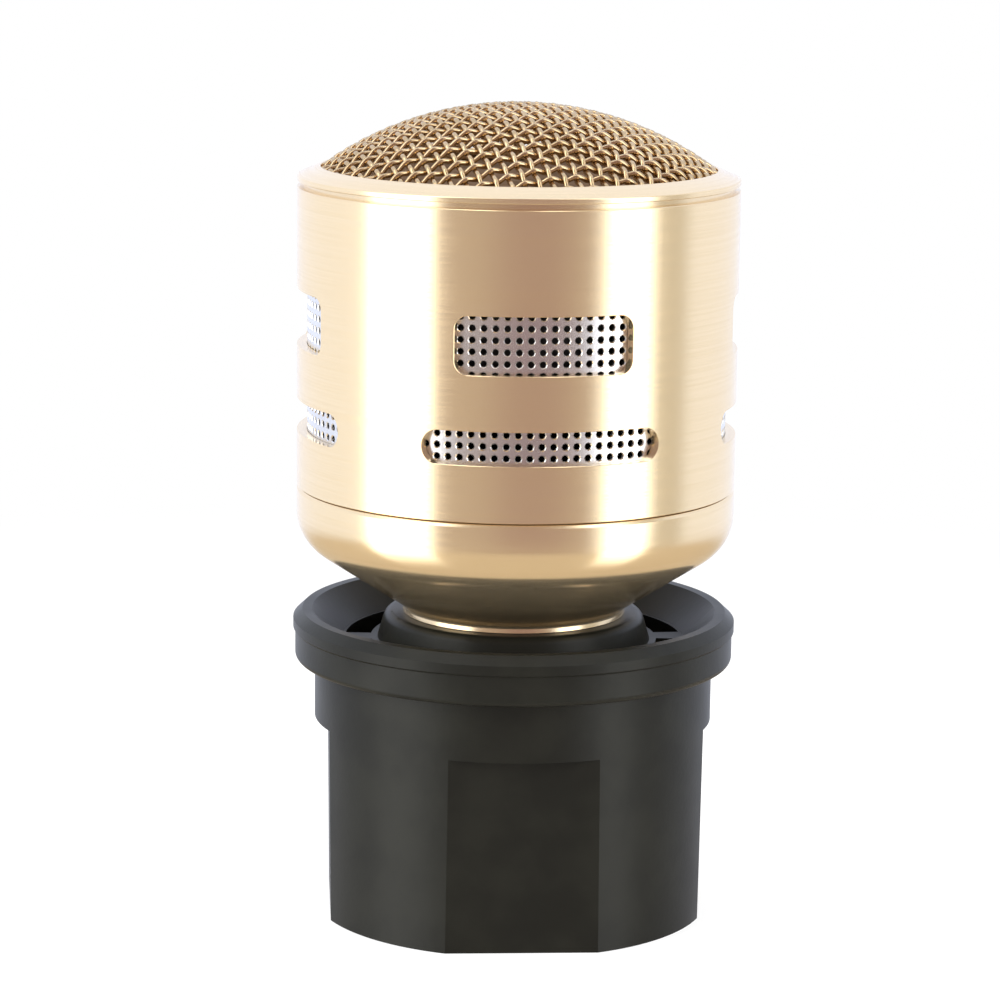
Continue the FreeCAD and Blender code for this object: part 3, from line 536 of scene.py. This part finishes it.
# Two sets of waving wires on a ball, each wire ending on the rim's circle
def weaveTree():
    group, tree, given, result = growTree("woven dome", weave)

    def vector(operation, *values):
        return tree.math(operation, *values, kind="ShaderNodeVectorMath")

    line = tree.node("GeometryNodeCurvePrimitiveLine")
    line.inputs["Start"].default_value = (-1, 0, 0)
    line.inputs["End"].default_value = (1, 0, 0)
    sampled = tree.node("GeometryNodeResampleCurve")
    tree.link(line.outputs[0], sampled.inputs["Curve"])
    tree.link(given["Points"], sampled.inputs["Count"])
    posts = tree.node("GeometryNodeMeshLine")
    tree.link(given["Wires"], posts.inputs["Count"])
    posts.inputs["Offset"].default_value = (0, 1, 0)
    copies = tree.node("GeometryNodeInstanceOnPoints")
    tree.link(posts.outputs[0], copies.inputs["Points"])
    tree.link(sampled.outputs[0], copies.inputs["Instance"])
    real = tree.node("GeometryNodeRealizeInstances")
    tree.link(copies.outputs[0], real.inputs[0])

    share, number, _ = tree.split(tree.position())
    middle = tree.math("DIVIDE", tree.math("SUBTRACT", given["Wires"], 1.0), 2.0)
    side = tree.math("MULTIPLY", tree.math("SUBTRACT", number, middle), given["Pitch"])
    chord = tree.math("SQRT", tree.math("MAXIMUM", 0.0, tree.math("SUBTRACT",
                      tree.math("MULTIPLY", given["Reach"], given["Reach"]),
                      tree.math("MULTIPLY", side, side))))
    along = tree.math("MULTIPLY", share, chord)
    phase = tree.math("MULTIPLY", math.pi,
                      tree.math("ADD", tree.math("DIVIDE", along, given["Pitch"]), middle))
    sign = tree.math("COSINE", tree.math("MULTIPLY", math.pi, number))
    wave = tree.math("MULTIPLY", tree.math("MULTIPLY", tree.math("COSINE", phase), sign),
                     given["Wave"])
    drop = tree.math("SQRT", tree.math("SUBTRACT",
                     tree.math("MULTIPLY", given["Ball"], given["Ball"]),
                     tree.math("ADD", tree.math("MULTIPLY", along, along),
                               tree.math("MULTIPLY", side, side))))
    flat = tree.combine(along, side, drop)
    rise = tree.combine(None, None, tree.math("SUBTRACT", given["Crown"], given["Ball"]))
    layers = []
    for direction, quarter in ((1.0, 0.0), (-1.0, math.pi / 2)):
        lift = tree.node("ShaderNodeVectorMath", operation="SCALE")
        tree.link(vector("NORMALIZE", flat), lift.inputs[0])
        tree.link(tree.math("MULTIPLY", wave, direction), lift.inputs["Scale"])
        moved = tree.node("GeometryNodeSetPosition")
        tree.link(real.outputs[0], moved.inputs["Geometry"])
        tree.link(vector("ADD", flat, lift.outputs[0]), moved.inputs["Position"])
        turned = tree.node("GeometryNodeTransform")
        tree.link(moved.outputs[0], turned.inputs["Geometry"])
        tree.link(tree.combine(None, None, tree.math("ADD", given["Turn"], quarter)),
                  turned.inputs["Rotation"])
        tree.link(rise, turned.inputs["Translation"])
        layers.append(turned.outputs[0])
    both = tree.node("GeometryNodeJoinGeometry")
    for layer in layers:
        tree.link(layer, both.inputs[0])
    section = tree.node("GeometryNodeCurvePrimitiveCircle")
    tree.link(given["Sides"], section.inputs["Resolution"])
    tree.link(given["Wire"], section.inputs["Radius"])
    wires = tree.node("GeometryNodeCurveToMesh")
    tree.link(both.outputs[0], wires.inputs["Curve"])
    tree.link(section.outputs[0], wires.inputs["Profile Curve"])
    wires.inputs["Fill Caps"].default_value = True
    smooth = tree.node("GeometryNodeSetShadeSmooth")
    tree.link(wires.outputs[0], smooth.inputs["Geometry"])
    solid = tree.node("GeometryNodeRealizeInstances")
    tree.link(smooth.outputs[0], solid.inputs[0])
    painted = tree.node("GeometryNodeSetMaterial")
    painted.inputs["Material"].default_value = finishes["gold_wire"]
    tree.link(solid.outputs[0], painted.inputs["Geometry"])
    tree.link(painted.outputs[0], result[0])
    return group


dress(grow("wovenDome", weaveTree(), weave), "gold_wire", "wire_mesh_dome")

# Rise is the step between rows, Hole the radius of a hole and Lip the width of its worn mouth
sheetHoles = {
    "Columns": 116, "Rows": 18, "Rise": 0.848 * mm, "Middle": 43.559 * mm, "Radius": 15.72 * mm,
    "Wall": 0.35 * mm, "Hole": 0.24 * mm, "Lip": 0.07 * mm, "Turn": math.radians(4.65 - 90),
    "Bottom": 35.35 * mm, "Top": 51.6 * mm,
}


# One holed cell, repeated over a flat strip, then rolled into the sleeve
def sheetTree():
    group, tree, given, result = growTree("perforated sheet", sheetHoles)
    pitch = tree.math("DIVIDE", tree.math("MULTIPLY", given["Radius"], 2 * math.pi),
                      given["Columns"])
    x, y, _ = tree.split(tree.position())

    # A circle of 8 corners at a depth, and 8 quads drawn from it to a given outline
    def band(radius, depth, outlineX, outlineY, outlineDepth):
        circle = tree.node("GeometryNodeMeshCircle", fill_type="NONE")
        circle.inputs["Vertices"].default_value = 8
        tree.link(radius, circle.inputs["Radius"])
        placed = tree.node("GeometryNodeSetPosition")
        tree.link(circle.outputs[0], placed.inputs["Geometry"])
        tree.link(tree.combine(0.0, 0.0, depth), placed.inputs["Offset"])
        drawn = tree.node("GeometryNodeExtrudeMesh", mode="EDGES")
        tree.link(placed.outputs[0], drawn.inputs["Mesh"])
        drawn.inputs["Offset Scale"].default_value = 0.0
        target = tree.node("GeometryNodeSetPosition")
        tree.link(drawn.outputs["Mesh"], target.inputs["Geometry"])
        tree.link(drawn.outputs["Top"], target.inputs["Selection"])
        tree.link(tree.combine(outlineX, outlineY, outlineDepth), target.inputs["Position"])
        return target.outputs[0]

    def faceBand(radius, depth):
        longest = tree.math("MAXIMUM", tree.math("ABSOLUTE", x), tree.math("ABSOLUTE", y))
        wide = tree.math("DIVIDE", tree.math("MULTIPLY", pitch, 0.5), longest)
        tall = tree.math("DIVIDE", tree.math("MULTIPLY", given["Rise"], 0.5), longest)
        return band(radius, depth, tree.math("MULTIPLY", x, wide),
                    tree.math("MULTIPLY", y, tall), depth)

    def holeBand(radiusA, depthA, radiusB, depthB):
        share = tree.math("DIVIDE", radiusB, radiusA)
        return band(radiusA, depthA, tree.math("MULTIPLY", x, share),
                    tree.math("MULTIPLY", y, share), depthB)

    mouth = tree.math("ADD", given["Hole"], given["Lip"])
    back = tree.math("MULTIPLY", given["Wall"], -1.0)
    lipDepth = tree.math("MULTIPLY", given["Lip"], -1.0)
    cell = tree.node("GeometryNodeJoinGeometry")
    for piece in (faceBand(mouth, 0.0), holeBand(mouth, 0.0, given["Hole"], lipDepth),
                  holeBand(given["Hole"], lipDepth, given["Hole"], back),
                  faceBand(given["Hole"], back)):
        tree.link(piece, cell.inputs[0])

    grid = tree.node("GeometryNodeMeshGrid")
    tree.link(tree.math("MULTIPLY", pitch, tree.math("SUBTRACT", given["Columns"], 1.0)),
              grid.inputs["Size X"])
    tree.link(tree.math("MULTIPLY", given["Rise"], tree.math("SUBTRACT", given["Rows"], 1.0)),
              grid.inputs["Size Y"])
    tree.link(given["Columns"], grid.inputs["Vertices X"])
    tree.link(given["Rows"], grid.inputs["Vertices Y"])
    copies = tree.node("GeometryNodeInstanceOnPoints")
    tree.link(grid.outputs[0], copies.inputs["Points"])
    tree.link(cell.outputs[0], copies.inputs["Instance"])
    strip = tree.node("GeometryNodeRealizeInstances")
    tree.link(copies.outputs[0], strip.inputs[0])
    around, upward, outward = tree.split(tree.position())
    angle = tree.math("ADD", tree.math("DIVIDE", around, given["Radius"]), given["Turn"])
    reach = tree.math("ADD", given["Radius"], outward)
    height = tree.math("ADD", upward, given["Middle"])
    rolled = tree.node("GeometryNodeSetPosition")
    tree.link(strip.outputs[0], rolled.inputs["Geometry"])
    tree.link(tree.combine(tree.math("MULTIPLY", tree.math("COSINE", angle), reach),
                           tree.math("MULTIPLY", tree.math("SINE", angle), reach), height),
              rolled.inputs["Position"])
    joined = tree.node("GeometryNodeMergeByDistance")
    tree.link(rolled.outputs[0], joined.inputs["Geometry"])
    joined.inputs["Distance"].default_value = 2e-6
    solid = tree.node("GeometryNodeRealizeInstances")
    tree.link(joined.outputs[0], solid.inputs[0])
    painted = tree.node("GeometryNodeSetMaterial")
    painted.inputs["Material"].default_value = finishes["silver_sheet"]
    tree.link(solid.outputs[0], painted.inputs["Geometry"])
    tree.link(painted.outputs[0], result[0])
    return group


# The plain bands above and below the holes are drawn from the strip's rims, then closed
def makeSleeve():
    grown = grow("holedStrip", sheetTree(), sheetHoles)
    grid = bmesh.new()
    grid.from_mesh(grown.data)

    def openEdges():
        edges = [edge for edge in grid.edges if edge.is_boundary]
        return ([edge for edge in edges if edge.verts[0].co.z < sheetHoles["Middle"]],
                [edge for edge in edges if edge.verts[0].co.z > sheetHoles["Middle"]])

    for edges, level in zip(openEdges(), (sheetHoles["Bottom"], sheetHoles["Top"])):
        made = bmesh.ops.extrude_edge_only(grid, edges=edges)["geom"]
        for vert in made:
            if isinstance(vert, bmesh.types.BMVert):
                vert.co.z = level
    bmesh.ops.remove_doubles(grid, verts=grid.verts, dist=1e-7)
    for edges in openEdges():
        bmesh.ops.bridge_loops(grid, edges=edges)
    bpy.data.objects.remove(grown)
    piece = finishMesh("perforatedSleeve", grid)
    dress(piece, "silver_sheet", "perforated_sleeve")


makeSleeve()


# The rest of the nodes keep their CAD shape and get their finishes

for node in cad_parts.values():
    finish = node.data.materials[0].name.split(".")[0]
    for materialSlot in node.material_slots:
        materialSlot.material = finishes[finish]
print("CAD nodes dressed")


# Stage, light and camera

# Turns are in degrees from the camera, and fades run over the height of a direction
studio = {
    "floorSize": 3.0, "floorColour": 0.86, "floorGlow": 0.72, "shadowFade": (0.05, 0.16),
    "ambient": 0.42, "cameraTurn": -93.5, "soft": 5.0,
    "front": (0.34, 0.23, 0.235), "frontTurn": 9.0, "frontFade": (4.0, 36.0),
    "flank": (0.46, 0.38, 0.36), "frontHalf": 41.0,
    "rest": (1.0, 1.07, 1.28), "shade": (0.62, 0.61, 0.60), "shadeBand": (74.0, 104.0),
    "below": (0.66, 0.57, 0.46), "belowFade": (-0.205, -0.42),
    "leftCard": (-84.0, -45.0), "rightCard": (47.0, 72.0), "card": 3.2,
    "cardFade": (-0.85, -0.3), "lampAim": 0.03,
}


def makeFloor():
    grid = bmesh.new()
    bmesh.ops.create_circle(grid, cap_ends=True, radius=studio["floorSize"], segments=96)
    mesh = bpy.data.meshes.new("floor")
    grid.to_mesh(mesh)
    grid.free()
    floor = bpy.data.objects.new("floor", mesh)
    scene.collection.objects.link(floor)
    material, tree = emptyMaterial("pale floor")
    seen = tree.node("ShaderNodeLightPath").outputs["Is Camera Ray"]
    matt = tree.node("ShaderNodeBsdfDiffuse")
    matt.inputs["Color"].default_value = (studio["floorColour"],) * 3 + (1,)
    lit = tree.node("ShaderNodeBsdfDiffuse")
    lit.inputs["Color"].default_value = (1 - studio["floorGlow"],) * 3 + (1,)
    glow = tree.node("ShaderNodeEmission")
    glow.inputs["Strength"].default_value = studio["floorGlow"]
    both = tree.node("ShaderNodeAddShader")
    tree.link(lit.outputs[0], both.inputs[0])
    tree.link(glow.outputs[0], both.inputs[1])
    plain = tree.node("ShaderNodeEmission")
    away = tree.node("ShaderNodeVectorMath", operation="LENGTH")
    tree.link(tree.node("ShaderNodeTexCoord").outputs["Object"], away.inputs[0])
    near = tree.node("ShaderNodeMixShader")
    tree.link(tree.smooth(away.outputs["Value"], *studio["shadowFade"]), near.inputs[0])
    tree.link(both.outputs[0], near.inputs[1])
    tree.link(plain.outputs[0], near.inputs[2])
    mix = tree.node("ShaderNodeMixShader")
    tree.link(seen, mix.inputs[0])
    tree.link(matt.outputs[0], mix.inputs[1])
    tree.link(near.outputs[0], mix.inputs[2])
    output = tree.node("ShaderNodeOutputMaterial")
    tree.link(mix.outputs[0], output.inputs["Surface"])
    mesh.materials.append(material)
    floor.visible_glossy = False


# White for the camera, a light tent with two bright cards for reflections
def makeWorld():
    world = bpy.data.worlds.new("studio")
    scene.world = world
    world.use_nodes = True
    world.node_tree.nodes.clear()
    tree = Tree(world.node_tree)
    world.cycles.sampling_method = "NONE"
    path = tree.node("ShaderNodeLightPath").outputs
    aim = tree.node("ShaderNodeMapping", vector_type="POINT")
    tree.link(tree.node("ShaderNodeTexCoord").outputs["Generated"], aim.inputs["Vector"])
    aim.inputs["Rotation"].default_value = (0, 0, -math.radians(studio["cameraTurn"]))
    x, y, height = tree.split(aim.outputs[0])
    turn = tree.math("MULTIPLY", tree.math("ARCTAN2", y, x), 180 / math.pi)
    half, soft = studio["frontHalf"], studio["soft"]
    side = tree.smooth(tree.math("ABSOLUTE", turn), half - soft, half + soft)
    centre = tree.math("ABSOLUTE", tree.math("SUBTRACT", turn, studio["frontTurn"]))
    middle = mixed(tree, tree.smooth(centre, *studio["frontFade"]), studio["front"],
                   studio["flank"])
    low, high = studio["shadeBand"]
    shaded = tree.math("MULTIPLY", tree.smooth(turn, low, low + soft),
                       tree.math("SUBTRACT", 1.0, tree.smooth(turn, high - 3 * soft, high)))
    around = mixed(tree, shaded, studio["rest"], studio["shade"])
    level = mixed(tree, side, middle, around)
    base = mixed(tree, tree.smooth(height, *studio["belowFade"]), level, studio["below"])
    masks = []
    for low, high in (studio["leftCard"], studio["rightCard"]):
        masks.append(tree.math("MULTIPLY", tree.smooth(turn, low - soft / 2, low + soft / 2),
                               tree.math("SUBTRACT", 1.0, tree.smooth(
                                   turn, high - soft / 2, high + soft / 2))))
    cards = tree.math("MULTIPLY", tree.math("ADD", *masks),
                      tree.smooth(height, *studio["cardFade"]))
    colour = mixed(tree, cards, base, (studio["card"],) * 3)
    plain = mixed(tree, path["Is Glossy Ray"], (studio["ambient"],) * 3, colour)
    seen = tree.math("MAXIMUM", path["Is Camera Ray"], path["Is Transmission Ray"])
    background = tree.node("ShaderNodeBackground")
    tree.link(mixed(tree, seen, plain, (1, 1, 1)), background.inputs["Color"])
    output = tree.node("ShaderNodeOutputWorld")
    tree.link(background.outputs[0], output.inputs["Surface"])


lamps = {
    "left card": {"turn": -64, "height": 0.22, "away": 0.6, "size": (0.42, 0.7), "watts": 7.0},
    "right card": {"turn": 60, "height": 0.22, "away": 0.6, "size": (0.27, 0.7), "watts": 4.5},
    "top card": {"turn": 180, "height": 0.75, "away": 0.12, "size": (0.7, 0.7), "watts": 7.0},
}


def makeLamps():
    for name, lamp in lamps.items():
        light = bpy.data.lights.new(name, "AREA")
        light.shape = "RECTANGLE"
        light.size, light.size_y = lamp["size"]
        light.energy = lamp["watts"]
        holder = bpy.data.objects.new(name, light)
        scene.collection.objects.link(holder)
        turn = math.radians(studio["cameraTurn"] + lamp["turn"])
        spot = Vector((math.cos(turn) * lamp["away"], math.sin(turn) * lamp["away"],
                       lamp["height"]))
        holder.location = spot
        holder.rotation_mode = "QUATERNION"
        aim = Vector((0, 0, studio["lampAim"])) - spot
        holder.rotation_quaternion = aim.to_track_quat("-Z", "Y")
        holder.visible_glossy = False
        holder.visible_camera = False


cameraSetup = {
    "turn": -3.5, "elevation": 10.863, "roll": 0.7, "distance": 272.7 * mm, "lens": 129.75,
    "aimHeight": 31.24 * mm, "left": 1.14 * mm,
}


def makeCamera():
    turn, lift = math.radians(cameraSetup["turn"]), math.radians(cameraSetup["elevation"])
    roll = math.radians(cameraSetup["roll"])
    back = Vector((math.sin(turn) * math.cos(lift), -math.cos(turn) * math.cos(lift),
                   math.sin(lift)))
    right = Vector((math.cos(turn), math.sin(turn), 0))
    up = back.cross(right)
    target = Vector((0, 0, cameraSetup["aimHeight"])) - right * cameraSetup["left"]
    across = right * math.cos(roll) + up * math.sin(roll)
    upward = up * math.cos(roll) - right * math.sin(roll)
    data = bpy.data.cameras.new("camera")
    data.lens, data.sensor_width = cameraSetup["lens"], 36.0
    data.clip_start, data.clip_end = 0.01, 10.0
    camera = bpy.data.objects.new("camera", data)
    scene.collection.objects.link(camera)
    camera.matrix_world = Matrix.Translation(target + back * cameraSetup["distance"]) @ Matrix((
        across, upward, back)).transposed().to_4x4()
    scene.camera = camera


makeFloor()
makeWorld()
makeLamps()
makeCamera()
scene.view_settings.view_transform = "Standard"
print("stage, light and camera set")
